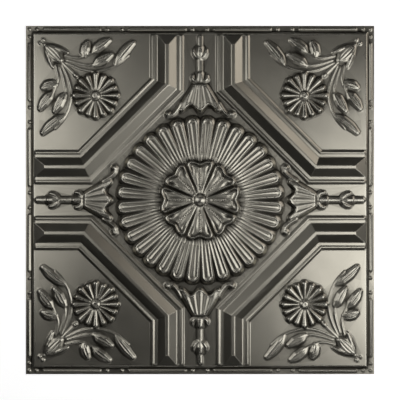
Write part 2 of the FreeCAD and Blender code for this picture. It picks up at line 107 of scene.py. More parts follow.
class ReliefMap:
    """Heights over one quarter of the tile. Only the wedge beside its first axis is shaped."""

    def __init__(self, half_side: float, steps: int) -> None:
        """Lays out the grid.

        Args:
            half_side: Half of the tile's side.
            steps: Grid steps along it.
        """
        self.steps = steps
        self.step = half_side / steps
        axis = np.linspace(0.0, half_side, steps + 1)
        self.out, self.side = np.meshgrid(axis, axis, indexing="ij")
        self.radius = np.hypot(self.out, self.side)
        self.height = np.zeros_like(self.out)
        self.ridge = np.zeros_like(self.out)
        self.ornament = np.zeros_like(self.out)
        # Painted shade in hollows and rubbing on crests, as height above the surroundings
        self.shade_and_wear = np.zeros_like(self.out)

    def stand(self, height: Array) -> None:
        """Lets ornament stand at least this high above the field."""
        self.ornament = np.maximum(self.ornament, height)

    def stroke(self, spots: list[Spot], crest: Crest = Crest.ROUND) -> None:
        """Raises a tapering stroke along a smooth line.

        Args:
            spots: Places along the line, each with a half width and a height.
            crest: How its top is shaped.
        """
        line = smooth_line(np.array(spots, float))
        margin = line[:, 2].max()
        low = np.floor((line[:, :2].min(axis=0) - margin) / self.step).astype(int)
        high = np.ceil((line[:, :2].max(axis=0) + margin) / self.step).astype(int)
        low, high = np.maximum(low, 0), np.maximum(high, 0)
        window = (slice(low[0], high[0] + 1), slice(low[1], high[1] + 1))
        out, side = self.out[window], self.side[window]
        across, half_width, height = np.ones_like(out), np.ones_like(out), np.zeros_like(out)
        for start, end in zip(line[:-1], line[1:]):
            run = end[:2] - start[:2]
            length = max(float(run @ run), TINY)
            share = np.clip(((out - start[0]) * run[0] + (side - start[1]) * run[1]) / length, 0.0, 1.0)
            away = np.hypot(out - start[0] - share * run[0], side - start[1] - share * run[1])
            left = (side - start[1]) * run[0] > (out - start[0]) * run[1]
            reach = start[2] + share * (end[2] - start[2])
            nearer = away / reach < np.abs(across)
            across = np.where(nearer, np.where(left, away, -away) / reach, across)
            half_width = np.where(nearer, reach, half_width)
            height = np.where(nearer, start[3] + share * (end[3] - start[3]), height)
        top = self.stroke_top(across, half_width, height, crest)
        self.ornament[window] = np.maximum(self.ornament[window], top)

    def stroke_top(self, across: Array, half_width: Array, height: Array, crest: Crest) -> Array:
        """Heights of a stroke, held below its outer walls.

        Args:
            across: Share of the half width away from its line, positive on the left.
            half_width: Half width there.
            height: Full height there.
            crest: How its top is shaped.

        Returns:
            Height at each place.
        """
        away = np.abs(across)
        wall = WALL_SLOPE * (1.0 - away) * half_width
        if crest is Crest.LEAF:
            return np.minimum(height * np.interp(across, LEAF_ACROSS, LEAF_RISE), wall)
        top = np.minimum(height * (1.0 - away**2) ** STROKE_ROUNDNESS, wall)
        if crest is Crest.REEDED:
            top = top * (1.0 - REED_DEPTH + REED_DEPTH * np.cos(away * REEDS * math.pi))
        return top

    def fold(self) -> None:
        """Copies the wedge across the diagonal, so that the quarter is whole."""
        for name in ("height", "ridge", "ornament"):
            layer = getattr(self, name)
            setattr(self, name, np.tril(layer) + np.tril(layer, -1).T)

    def sample(self, layer: Array, places: Array) -> Array:
        """Reads a layer between its grid places.

        Args:
            layer: Values over the map.
            places: Rows of two distances from the tile's centre lines.

        Returns:
            The value at each place.
        """
        spots = np.clip(places / self.step, 0.0, self.steps - TINY)
        row, column = spots.astype(int).T
        along, across = (spots - spots.astype(int)).T
        near = layer[row, column] * (1.0 - across) + layer[row, column + 1] * across
        far = layer[row + 1, column] * (1.0 - across) + layer[row + 1, column + 1] * across
        return near * (1.0 - along) + far * along

    def softened(self, layer: Array, radius: float) -> Array:
        """Rounds every crease of a layer, as sheet does when it is pressed.

        Args:
            layer: Heights over the map.
            radius: Spread of the softening.

        Returns:
            The rounded layer.
        """
        spread = radius / self.step
        reach = int(math.ceil(SOFTENING_REACH * spread))
        weights = np.exp(-0.5 * (np.arange(-reach, reach + 1) / spread) ** 2)
        weights /= weights.sum()
        for axis in (0, 1):
            pads = [(0, 0), (0, 0)]
            pads[axis] = (reach, 0)
            padded = np.pad(layer, pads, mode="reflect")
            pads[axis] = (0, reach)
            padded = np.pad(padded, pads, mode="edge")
            count = layer.shape[axis]
            total = np.zeros_like(layer)
            for index, weight in enumerate(weights):
                total += weight * np.take(padded, np.arange(index, index + count), axis=axis)
            layer = total
        return layer


def smooth_line(spots: Array, pieces: int = 5) -> Array:
    """Bends a line of spots into a smooth one that passes through each.

    Args:
        spots: Rows of place, half width and height.
        pieces: Straight pieces between two spots.

    Returns:
        The rows of the smooth line.
    """
    if len(spots) < 3:
        return spots
    ends = np.vstack([2 * spots[0] - spots[1], spots, 2 * spots[-1] - spots[-2]])
    rows = []
    for index in range(len(spots) - 1):
        before, start, end, after = ends[index : index + 4]
        for share in np.arange(pieces) / pieces:
            row = 0.5 * (
                2 * start
                + (end - before) * share
                + (2 * before - 5 * start + 4 * end - after) * share**2
                + (3 * start - before - 3 * end + after) * share**3
            )
            row[2:] = start[2:] + share * (end[2:] - start[2:])
            rows.append(row)
    rows.append(spots[-1])
    return np.array(rows)


@dataclass
class NailRail:
    """The flat rail with its beads and buttons, and the wall up to the field."""

    module: float = 609.6
    beads: int = 4
    lip: float = 6.35
    wall_foot: float = 301.0
    wall_top: float = 296.0
    field_rise: float = 3.5
    bead_half_length: float = 53.0
    bead_half_width: float = 3.8
    bead_height: float = 2.7
    button_half_pair: float = 13.1
    button_radius: float = 3.6
    button_height: float = 2.4

    @property
    def half_side(self) -> float:
        """Half of the tile's trimmed side."""
        return self.module / 2 + self.lip

    def press(self, relief: ReliefMap) -> None:
        """Shapes the rail, its beads and buttons, and the raised field.

        Args:
            relief: The map to shape.
        """
        line = self.module / 2
        pitch = self.module / self.beads
        ramp = (self.wall_foot - relief.out) / (self.wall_foot - self.wall_top)
        relief.height += self.field_rise * np.clip(ramp, 0.0, 1.0)
        trim = np.zeros_like(relief.height)
        for middle in (0.5 * pitch, 1.5 * pitch):
            along = np.abs(relief.side - middle) - (self.bead_half_length - self.bead_half_width)
            away = np.hypot(relief.out - line, np.maximum(along, 0.0))
            trim = np.maximum(trim, dome(away, self.bead_half_width, self.bead_height))
        gap = self.button_half_pair
        for place in (gap, pitch - gap, pitch + gap, 2 * pitch - gap, line):
            away = np.hypot(relief.out - line, relief.side - place)
            trim = np.maximum(trim, dome(away, self.button_radius, self.button_height))
        relief.height += trim


@dataclass
class CornerMoulding:
    """The bent ridge that frames a corner panel, with a ledge along each side of its foot."""

    arm_offset: float = 58.5
    diagonal_offset: float = 186.0
    end: float = 297.0
    ridge_reach: tuple[float, ...] = (0.0, 2.8, 17.2, 19.5)
    ridge_rise: tuple[float, ...] = (12.4, 12.4, 1.8, 0.0)
    ledge_reach: tuple[float, ...] = (17.2, 22.4, 24.6, 26.8, 30.8)
    ledge_rise: tuple[float, ...] = (1.8, 1.8, 2.8, 2.9, 0.0)
    ledge_end: float = 6.0
    hip_share: float = 0.75

    def press(self, relief: ReliefMap) -> None:
        """Shapes the ridge, hipped at its ends, and the ledges.

        Args:
            relief: The map to shape.
        """
        arm = relief.side - self.arm_offset
        slant = (relief.out + relief.side) / math.sqrt(2.0) - self.diagonal_offset
        away = np.abs(np.minimum(arm, slant))
        room = self.end - relief.out
        hip = np.maximum(away, self.ridge_reach[-1] - self.hip_share * room)
        ridge = np.interp(hip, self.ridge_reach, self.ridge_rise)
        ledge = np.interp(away, self.ledge_reach, self.ledge_rise)
        relief.ridge = np.maximum(ridge, ledge * smooth_step(0.0, self.ledge_end, room))


@dataclass
class Medallion:
    """The low dome with its ring of flutes."""

    flutes: int = 32
    crown_height: float = 11.0
    crown_radius: float = 80.0
    slope: float = 0.088
    root_radius: float = 75.0
    root_half_width: float = 7.4
    end_centre: float = 136.0
    end_radius: float = 9.9
    wall_slope: float = 0.72
    faint_share: float = 0.45
    faint_span: Span = (46.0, 62.0)
    full_span: Span = (76.0, 104.0)
    inset: tuple[float, ...] = (0.0, 1.5, 2.6, 4.2, 5.6, 7.0, 9.9)
    crest: tuple[float, ...] = (-0.6, 0.7, 0.5, -1.0, -1.1, -0.1, 0.3)

    def press(self, relief: ReliefMap) -> None:
        """Shapes the dome and the flutes, each with a raised lip and a reed.

        Args:
            relief: The map to shape.
        """
        pitch = 2.0 * math.pi / self.flutes
        angle = np.arctan2(relief.side, relief.out)
        turn = np.abs((angle % pitch) - pitch / 2.0)
        along = relief.radius * np.cos(turn)
        across = relief.radius * np.sin(turn)
        grown = (self.end_radius - self.root_half_width) / (self.end_centre - self.root_radius)
        half_width = self.root_half_width + grown * (along - self.root_radius)
        inside = np.where(
            along < self.end_centre,
            half_width - across,
            self.end_radius - np.hypot(along - self.end_centre, across),
        )
        profile = np.where(
            inside > 0.0,
            np.interp(inside, self.inset, self.crest),
            self.crest[0] + self.wall_slope * inside,
        )
        fade = self.faint_share * smooth_step(*self.faint_span, relief.radius)
        fade += (1.0 - self.faint_share) * smooth_step(*self.full_span, relief.radius)
        fall = np.maximum(relief.radius - self.crown_radius, 0.0)
        dome_height = self.crown_height - self.slope * fall
        relief.stand(np.maximum(dome_height + fade * profile, 0.0))


@dataclass
class Rosette:
    """Eight petals of two lobes round a boss, on the medallion's crown."""

    crown_height: float = 11.0
    reach: float = 76.0
    edge_height: float = 0.02
    neck: float = 19.7
    neck_half_width: float = 6.8
    least_half_width: float = 1.0
    flare: float = 0.374
    notch: float = 64.0
    notch_half_width: float = 13.0
    corner: float = 9.0
    root_share: float = 0.55
    root_gain: float = 0.45
    root_span: Span = (14.0, 40.0)
    wall_slope: float = 1.2
    wall_reach: float = 1.8
    wall_height: float = 2.8
    tip_height: float = 0.4
    tip_span: Span = (50.0, 62.0)
    rim_height: float = 1.4
    rim_inset: float = 1.6
    rim_spread: float = 1.3
    lobe_reach: float = 4.0
    lobe_height: float = 1.0
    lobe_inset: float = 5.0
    lobe_span: Span = (58.0, 46.0)
    hollow_depth: float = 1.9
    hollow_inset: float = 5.0
    hollow_spread: float = 2.0
    hollow_span: Span = (42.0, 56.0)
    beads: int = 9
    bead_span: Span = (25.0, 56.0)
    bead_radius: float = 1.95
    bead_height: float = 2.0
    bud_place: float = 19.5
    bud_radius: float = 4.4
    bud_height: float = 3.2
    ring_radius: float = 12.4
    ring_spread: float = 1.4
    ring_height: float = 2.2
    boss_radius: float = 10.0
    boss_base: float = 1.2
    boss_height: float = 3.2
    boss_span: Span = (9.0, 13.0)

    def press(self, relief: ReliefMap) -> None:
        """Shapes the petals, their beaded lines, the buds, and the boss within its ring.

        Args:
            relief: The map to shape.
        """
        angle = np.arctan2(relief.side, relief.out)
        turn = np.minimum(angle, math.pi / 4.0 - angle)
        along = relief.radius * np.cos(turn)
        across = np.abs(relief.radius * np.sin(turn))
        top = self.petal(along, across)
        for place in np.linspace(*self.bead_span, self.beads):
            share = np.clip(np.hypot(along - place, across) / self.bead_radius, 0.0, 1.0)
            relief.height += self.bead_height * (1.0 - share**2)
        bud = dome(np.hypot(along - self.bud_place, across), self.bud_radius, self.bud_height)
        ring = self.ring_height * swell(relief.radius - self.ring_radius, self.ring_spread)
        top = np.maximum(np.maximum(top, bud), ring)
        share = relief.radius / self.boss_radius
        ball = np.where(share < 1.0, self.boss_base + self.boss_height * (1.0 - share**2), 0.0)
        top = np.maximum(top * smooth_step(*self.boss_span, relief.radius), ball)
        top = np.where(relief.radius < self.reach, top, 0.0)
        relief.stand(np.where(top > self.edge_height, self.crown_height + top, 0.0))

    def petal(self, along: Array, across: Array) -> Array:
        """A flaring petal, notched at its end, with two lobes inside a raised rim.

        Args:
            along: Distance from the centre along the petal.
            across: Distance from the petal's middle line.

        Returns:
            Height above the crown.
        """
        half_width = self.neck_half_width + self.flare * (along - self.neck)
        half_width = np.maximum(half_width, self.least_half_width)
        side = (half_width - across) / math.hypot(1.0, self.flare)
        end = self.notch + self.lobe_reach * smooth_step(0.0, self.notch_half_width, across) - along
        spare = np.hypot(np.maximum(self.corner - side, 0.0), np.maximum(self.corner - end, 0.0))
        inside = self.corner - spare
        tip = smooth_step(*self.tip_span, along)
        wall_height = self.wall_height + self.tip_height * tip
        wall = np.clip(self.wall_slope * (inside + self.wall_reach + tip), 0.0, wall_height)
        rim = self.rim_height * swell(inside - self.rim_inset, self.rim_spread)
        lobe = np.sin(math.pi * np.clip(across / half_width, 0.0, 1.0)) ** 2
        lobe *= self.lobe_height * smooth_step(0.0, self.lobe_inset, inside)
        lobe *= smooth_step(*self.lobe_span, along)
        hollow = self.hollow_depth * swell(inside - self.hollow_inset, self.hollow_spread)
        hollow *= smooth_step(*self.hollow_span, along)
        root = self.root_share + self.root_gain * smooth_step(*self.root_span, along)
        return (wall + rim + lobe - hollow) * root


@dataclass
class Daisy:
    """The flower in a corner panel."""

    offset: float = 186.0
    petals: int = 16
    petal_reach: Span = (11.0, 37.0)
    petal_half_width: Span = (3.2, 7.4)
    petal_height: Span = (2.6, 4.6)
    petal_roundness: float = 2.6
    short_share: float = 0.94
    wall_slope: float = 1.0
    eye_radius: float = 10.4
    eye_height: float = 4.6
    dimple: float = 1.2
    dimple_radius: float = 4.0

    def press(self, relief: ReliefMap) -> None:
        """Shapes long and short petals by turns, each widening to a round tip, and the eye.

        Args:
            relief: The map to shape.
        """
        first, second = relief.out - self.offset, relief.side - self.offset
        radius = np.hypot(first, second)
        pitch = 2.0 * math.pi / self.petals
        angle = np.arctan2(second, first) + pitch / 2.0
        turn = np.abs((angle % pitch) - pitch / 2.0)
        scale = np.where(np.floor(angle / pitch) % 2.0 > 0.0, self.short_share, 1.0)
        along, across = radius * np.cos(turn), radius * np.sin(turn)
        root, end = self.petal_reach[0], self.petal_reach[1] * scale
        share = np.clip((along - root) / (end - root), 0.0, 1.0)
        half_width = scale * np.interp(share, (0.0, 1.0), self.petal_half_width)
        away = np.hypot(along - root - share * (end - root), across)
        ratio = np.clip(away / half_width, 0.0, 1.0)
        crest = scale * np.interp(share, (0.0, 1.0), self.petal_height) * (1.0 - ratio**self.petal_roundness)
        relief.stand(np.minimum(crest, self.wall_slope * (1.0 - ratio) * half_width))
        eye = dome(radius, self.eye_radius, self.eye_height)
        relief.stand(eye - self.dimple * swell(radius, self.dimple_radius))


@dataclass
class LeafSpray:
    """Half of the leafy spray beside a daisy, from the corner's bud."""

    stems: list[list[Spot]] = field(
        default_factory=lambda: [
            [(257, 240, 2.4, 2.0), (253, 220, 2.4, 1.9), (256, 206, 2.4, 1.9), (267, 180, 2.2, 1.9)],
            [(249, 236, 2.4, 2.0), (243, 217, 2.4, 1.9), (240, 200, 2.4, 1.9), (242, 184, 2.2, 1.9)],
            [(245, 240, 2.4, 2.0), (233, 212, 2.6, 1.9), (229, 186, 2.6, 1.9), (235, 160, 2.4, 1.9)],
            [(235, 160, 2.4, 1.9), (244, 143, 2.4, 1.9), (258, 127, 2.2, 1.9)],
            [(248, 247, 2.4, 2.2), (215, 214, 2.4, 2.2)],
            [(224, 223, 4.2, 3.0), (221, 220, 4.2, 3.0)],
        ]
    )
    leaves: list[list[Spot]] = field(
        default_factory=lambda: [
            [(257, 206, 4.6, 2.4), (264, 206, 9.6, 4.2), (272, 204, 10.0, 4.2), (280, 200, 6.0, 3.8)],
            [(265, 189, 4.6, 2.4), (271, 183, 9.6, 4.2), (278, 174, 10.0, 4.2), (285, 163, 6.2, 3.8)],
            [(241, 188, 4.6, 2.4), (247, 180, 9.6, 4.2), (252, 170, 10.0, 4.2), (259, 159, 6.2, 3.8)],
            [(243, 149, 4.6, 2.4), (254, 143, 9.0, 4.2), (268, 132, 9.4, 4.2), (280, 120, 6.2, 3.8)],
        ]
    )
    calyx: list[list[Spot]] = field(
        default_factory=lambda: [
            [(272, 272, 7.5, 3.8), (264, 264, 14.5, 5.0), (257, 257, 14.0, 5.0), (250, 250, 8.0, 3.8)],
            [(271, 259, 7.0, 4.2), (267, 248, 6.6, 4.0), (263, 237, 4.0, 2.6)],
            [(285.5, 279.5, 4.0, 3.2), (285, 279, 4.0, 3.2)],
            [(277, 277, 4.0, 3.4), (276, 276, 4.0, 3.4)],
        ]
    )

    def press(self, relief: ReliefMap) -> None:
        """Shapes the stems, the leaves and the calyx they spring from.

        Args:
            relief: The map to shape.
        """
        for spots in self.stems:
            relief.stroke(spots, Crest.ROUND)
        for spots in self.leaves:
            relief.stroke(spots, Crest.LEAF)
        for spots in self.calyx:
            relief.stroke(spots, Crest.REEDED)


@dataclass
class Pendant:
    """Half of the pendant flower on a side of the tile, seen from its middle line."""

    shaft: list[list[Spot]] = field(
        default_factory=lambda: [
            [(289, 0, 6.6, 3.0), (266, 0, 6.6, 3.0)],
            [(254, 0, 6.4, 2.8), (220, 0, 6.4, 2.8)],
        ]
    )
    buds: list[list[Spot]] = field(
        default_factory=lambda: [
            [(270, 0, 8.8, 4.8), (262, 0, 9.6, 4.8), (252, 0, 6.4, 3.6)],
            [(252, 2, 5.6, 3.4), (256, 7, 6.2, 4.2), (262, 10.5, 5.8, 4.0), (267, 11.5, 4.2, 3.2)],
            [(224, 0, 8.8, 4.8), (214, 0, 9.6, 4.4)],
            [(211, 3, 5.8, 3.4), (212, 9, 6.2, 4.2), (216, 12.5, 5.8, 4.0), (221, 13, 4.2, 3.2)],
        ]
    )
    bell_places: tuple[float, ...] = (150.0, 160.0, 174.0, 193.0, 204.0, 210.0)
    bell_half_widths: tuple[float, ...] = (44.0, 40.0, 35.0, 24.0, 17.0, 12.0)
    bell_top: float = 210.0
    bell_slope: float = 0.75
    bell_side_share: float = 0.85
    bell_height: float = 4.4
    ribs: float = 3.0
    rib_height: float = 0.4
    rib_inset: Span = (4.0, 8.0)
    hem_middle: float = 160.0
    hem_swing: float = 5.5
    hem_pitch: float = 32.4
    hem_height: float = 0.7
    hem_inset: float = 5.0
    hem_spread: float = 1.6
    scroll: list[list[Spot]] = field(
        default_factory=lambda: [
            [(172, 34, 5.0, 3.6), (160, 41, 5.4, 4.0), (151.5, 49, 5.6, 4.2), (151.5, 57, 6.0, 4.4)],
            [(152.5, 57, 8.0, 5.2), (153, 57.5, 8.0, 5.2)],
        ]
    )

    def press(self, relief: ReliefMap) -> None:
        """Shapes the shaft, its two buds, the ribbed bell and the scroll.

        Args:
            relief: The map to shape.
        """
        for spots in self.shaft + self.buds + self.scroll:
            relief.stroke(spots, Crest.ROUND)
        half_width = np.interp(relief.out, self.bell_places, self.bell_half_widths)
        scallop = self.hem_swing * np.cos(2.0 * math.pi * relief.side / self.hem_pitch)
        hem = relief.out - self.hem_middle + scallop
        flank = self.bell_side_share * (half_width - relief.side)
        inside = np.minimum(np.minimum(flank, hem), self.bell_top - relief.out)
        rib = np.cos(2.0 * math.pi * self.ribs * relief.side / half_width)
        rib *= self.rib_height * smooth_step(*self.rib_inset, inside)
        lip = self.hem_height * swell(hem - self.hem_inset, self.hem_spread)
        body = np.clip(self.bell_slope * inside, 0.0, self.bell_height)
        relief.stand(body + np.where(inside > 0.0, rib + lip, 0.0))


@dataclass(frozen=True)
class TinPlate:
    """The dark, semi-gloss finish of the sheet: a little lighter where its crests are rubbed, with painted
    shade darkening its recesses.
    """

    name: str = "tin_plate"
    # Near-black painted shade for the recesses
    painted_recess_shade: Colour = (0.022, 0.02, 0.016)
    colour: Colour = (0.234, 0.221, 0.186)
    rubbed: Colour = (0.25, 0.238, 0.204)
    recess: float = -0.95
    crest: float = 0.95
    plain_share: float = 0.5
    roughness: float = 0.3
    spread: float = 0.04
    dull_roughness: float = 0.035
    grain: float = 22.0
    grain_detail: float = 3.0
    ripple: float = 9.0
    ripple_detail: float = 2.0
    ripple_height: float = 0.0006

    def make(self) -> bpy.types.Material:
        """Makes the material.

        Returns:
            A metal whose colour and gloss follow the painted shade in recesses and the rubbing on crests,
            and vary slightly over the sheet.
        """
        material = bpy.data.materials.new(self.name)
        material.use_nodes = True
        nodes, links = material.node_tree.nodes, material.node_tree.links
        shader = nodes["Principled BSDF"]
        shader.inputs["Metallic"].default_value = 1.0
        # Reads the painted shade in hollows and rubbing on crests
        shade_and_wear = nodes.new("ShaderNodeAttribute")
        shade_and_wear.attribute_name = "shade_and_wear"
        height = nodes.new("ShaderNodeMapRange")
        height.inputs["From Min"].default_value = self.recess
        height.inputs["From Max"].default_value = self.crest
        # From painted shade in recesses, through the plain colour, to rubbed crests
        tone = nodes.new("ShaderNodeValToRGB")
        tone.color_ramp.elements[0].color = (*self.painted_recess_shade, 1.0)
        tone.color_ramp.elements[1].color = (*self.rubbed, 1.0)
        plain = tone.color_ramp.elements.new(self.plain_share)
        plain.color = (*self.colour, 1.0)
        links.new(shade_and_wear.outputs["Fac"], height.inputs["Value"])
        links.new(height.outputs["Result"], tone.inputs["Fac"])
        links.new(tone.outputs["Color"], shader.inputs["Base Color"])

        place = nodes.new("ShaderNodeTexCoord")
        noise = nodes.new("ShaderNodeTexNoise")
        noise.inputs["Scale"].default_value = self.grain
        noise.inputs["Detail"].default_value = self.grain_detail
        gloss = nodes.new("ShaderNodeMapRange")
        gloss.inputs["To Min"].default_value = self.roughness - self.spread
        gloss.inputs["To Max"].default_value = self.roughness + self.spread
        dulled = nodes.new("ShaderNodeMapRange")
        dulled.inputs["To Min"].default_value = self.dull_roughness
        dulled.inputs["To Max"].default_value = -self.dull_roughness
        both = nodes.new("ShaderNodeMath")
        links.new(place.outputs["Object"], noise.inputs["Vector"])
        links.new(noise.outputs["Fac"], gloss.inputs["Value"])
        links.new(height.outputs["Result"], dulled.inputs["Value"])
        links.new(gloss.outputs["Result"], both.inputs[0])
        links.new(dulled.outputs["Result"], both.inputs[1])
        links.new(both.outputs["Value"], shader.inputs["Roughness"])

        waves = nodes.new("ShaderNodeTexNoise")
        waves.inputs["Scale"].default_value = self.ripple
        waves.inputs["Detail"].default_value = self.ripple_detail
        bump = nodes.new("ShaderNodeBump")
        bump.inputs["Distance"].default_value = self.ripple_height
        links.new(place.outputs["Object"], waves.inputs["Vector"])
        links.new(waves.outputs["Fac"], bump.inputs["Height"])
        links.new(bump.outputs["Normal"], shader.inputs["Normal"])
        return material


@dataclass
class PressedSheet:
    """The whole tile: the relief of one wedge, repeated and given its thickness."""

    name: str = "pressed_sheet"
    thickness: float = 0.3
    quarters: int = 4
    joint: float = 0.01
    steps: int = 512
    snap: float = 0.05
    face_triangles: int = 21600
    back_triangles: int = 3000
    crease: float = 0.5
    softness: float = 0.85
    gloss_softness: float = 0.45
    shade_and_wear_reach: Span = (3.0, 6.0)
    near_share: float = 0.5
    wide: float = 0.6
    unlike: float = 0.003
    level: float = 0.004
    broad: float = 2.0
    upright: float = 0.01
    rail: NailRail = field(default_factory=NailRail)
    moulding: CornerMoulding = field(default_factory=CornerMoulding)
    medallion: Medallion = field(default_factory=Medallion)
    rosette: Rosette = field(default_factory=Rosette)
    daisy: Daisy = field(default_factory=Daisy)
    spray: LeafSpray = field(default_factory=LeafSpray)
    pendant: Pendant = field(default_factory=Pendant)

    def shape(self) -> ReliefMap:
        """Presses the rail and every ornament into the map.

        The ridges are left out of the painted shade and rubbing, so that their broad slopes stay even.

        Returns:
            The finished relief of a quarter.
        """
        relief = ReliefMap(self.rail.half_side, self.steps)
        forms = [self.rail, self.moulding, self.medallion, self.rosette]
        forms += [self.daisy, self.spray, self.pendant]
        for form in forms:
            form.press(relief)
            LOG.info("pressed %s", type(form).__name__)
        relief.fold()
        relief.height = relief.softened(relief.height, self.crease)
        relief.height += relief.softened(relief.ornament, self.softness)
        near, far = (relief.softened(relief.height, reach) for reach in self.shade_and_wear_reach)
        # Height above the blurred surroundings: hollows get painted shade, crests get rubbing
        relief.shade_and_wear = relief.height - self.near_share * near - (1.0 - self.near_share) * far
        relief.height += relief.softened(relief.ridge, self.crease)
        return relief

    def grid(self, relief: ReliefMap) -> bpy.types.Object:
        """The wedge as a full grid of triangles, in millimetres.

        Args:
            relief: The finished relief.

        Returns:
            The grid as an object.
        """
        rows, columns = np.tril_indices(self.steps + 1)
        number = np.zeros((self.steps + 1, self.steps + 1), int)
        number[rows, columns] = np.arange(len(rows))
        points = np.stack([rows * relief.step, columns * relief.step, relief.height[rows, columns]])
        i, j = np.tril_indices(self.steps)
        corner, beyond = number[i, j], number[i + 1, j + 1]
        lower = np.stack([corner, number[i + 1, j], beyond], axis=1)
        upper = np.stack([corner, beyond, number[i, j + 1]], axis=1)[j < i]
        faces = np.concatenate([lower, upper])
        mesh = bpy.data.meshes.new("grid")
        mesh.vertices.add(points.shape[1])
        mesh.vertices.foreach_set("co", points.T.ravel())
        mesh.loops.add(faces.size)
        mesh.loops.foreach_set("vertex_index", faces.ravel())
        mesh.polygons.add(len(faces))
        mesh.polygons.foreach_set("loop_start", np.arange(0, faces.size, 3))
        mesh.update()
        mesh.validate()
        item = bpy.data.objects.new("grid", mesh)
        bpy.context.scene.collection.objects.link(item)
        return item

    def skin(self, grid: bpy.types.Object, limit: int, lift: float) -> tuple[Array, Array]:
        """One side of the wedge, thinned out where the sheet is flat.

        Args:
            grid: The wedge's full grid.
            limit: The most triangles to use.
            lift: Height of this side above the grid.

        Returns:
            Its points, and its triangles facing up.
        """
        thin = grid.modifiers.new("thin", "DECIMATE")
        thin.ratio = limit / len(grid.data.polygons)
        thin.use_collapse_triangulate = True
        evaluated = grid.evaluated_get(bpy.context.evaluated_depsgraph_get())
        mesh = bpy.data.meshes.new_from_object(evaluated)
        grid.modifiers.remove(thin)
        points = np.empty(len(mesh.vertices) * 3)
        mesh.vertices.foreach_get("co", points)
        points = points.reshape(-1, 3)
        faces = np.empty(len(mesh.loops), int)
        mesh.loops.foreach_get("vertex_index", faces)
        bpy.data.meshes.remove(mesh)
        points[np.abs(points[:, 1]) < self.snap, 1] = 0.0
        points[points[:, 0] > self.rail.half_side - self.snap, 0] = self.rail.half_side
        seam = np.abs(points[:, 0] - points[:, 1]) < self.snap
        points[seam, :2] = points[seam, :2].max(axis=1)[:, None]
        points[:, 2] = np.maximum(points[:, 2], 0.0) + lift
        return points, faces.reshape(-1, 3)

    def wedge(self, relief: ReliefMap) -> bpy.types.Object:
        """Face, back and trimmed edge of one wedge.

        Args:
            relief: The finished relief.

        Returns:
            The wedge as an object, in metres, open where its neighbours join.
        """
        grid = self.grid(relief)
        face_points, face = self.skin(grid, self.face_triangles, self.thickness)
        back_points, back = self.skin(grid, self.back_triangles, 0.0)
        bpy.data.meshes.remove(grid.data)
        points = np.vstack([face_points, back_points])
        back = back[:, ::-1] + len(face_points)
        top = self.edge_line(face_points, 0)
        bottom = self.edge_line(back_points, len(face_points))
        faces = face.tolist() + back.tolist() + self.close_edge(points, top, bottom)
        mesh = bpy.data.meshes.new(self.name)
        mesh.from_pydata((points * MM).tolist(), [], faces)
        item = bpy.data.objects.new(self.name, mesh)
        bpy.context.scene.collection.objects.link(item)
        LOG.info("wedge: %d triangles on its face, %d on its back", len(face), len(back))
        return item

    def edge_line(self, points: Array, first: int) -> list[int]:
        """Numbers of one side's points along the trimmed edge, in order, counted from first."""
        spots = np.nonzero(points[:, 0] > self.rail.half_side - TINY)[0]
        return (spots[np.argsort(points[spots, 1])] + first).tolist()

    def close_edge(self, points: Array, top: list[int], bottom: list[int]) -> list[list[int]]:
        """The narrow wall between face and back.

        Args:
            points: All points of the wedge.
            top: Points along the face's edge, in order.
            bottom: Points along the back's edge, in order.

        Returns:
            Triangles that face outwards.
        """
        faces = []
        high, low = 0, 0
        while high + 1 < len(top) or low + 1 < len(bottom):
            ahead_high = points[top[high + 1], 1] if high + 1 < len(top) else math.inf
            ahead_low = points[bottom[low + 1], 1] if low + 1 < len(bottom) else math.inf
            if ahead_high < ahead_low:
                faces.append([top[high], bottom[low], top[high + 1]])
                high += 1
            else:
                faces.append([top[high], bottom[low], bottom[low + 1]])
                low += 1
        return faces

    def node_tree(self) -> bpy.types.NodeTree:
        """Nodes that mirror a wedge, turn it round the centre and join the whole.

        Returns:
            The tree, with inputs for the number of quarters, the joining distance and the finish.
        """
        tree = bpy.data.node_groups.new("complete_tile", "GeometryNodeTree")
        face = tree.interface
        face.new_socket("Geometry", in_out="INPUT", socket_type="NodeSocketGeometry")
        face.new_socket("Quarters", in_out="INPUT", socket_type="NodeSocketInt")
        face.new_socket("Joint", in_out="INPUT", socket_type="NodeSocketFloat")
        face.new_socket("Finish", in_out="INPUT", socket_type="NodeSocketMaterial")
        face.new_socket("Geometry", in_out="OUTPUT", socket_type="NodeSocketGeometry")
        add, link = tree.nodes.new, tree.links.new
        given, result = add("NodeGroupInput"), add("NodeGroupOutput")

        mirror = add("GeometryNodeTransform")
        mirror.inputs["Scale"].default_value = (1.0, -1.0, 1.0)
        turned_over = add("GeometryNodeFlipFaces")
        quarter = add("GeometryNodeJoinGeometry")
        link(given.outputs["Geometry"], mirror.inputs["Geometry"])
        link(mirror.outputs["Geometry"], turned_over.inputs["Mesh"])
        link(turned_over.outputs["Mesh"], quarter.inputs["Geometry"])
        link(given.outputs["Geometry"], quarter.inputs["Geometry"])

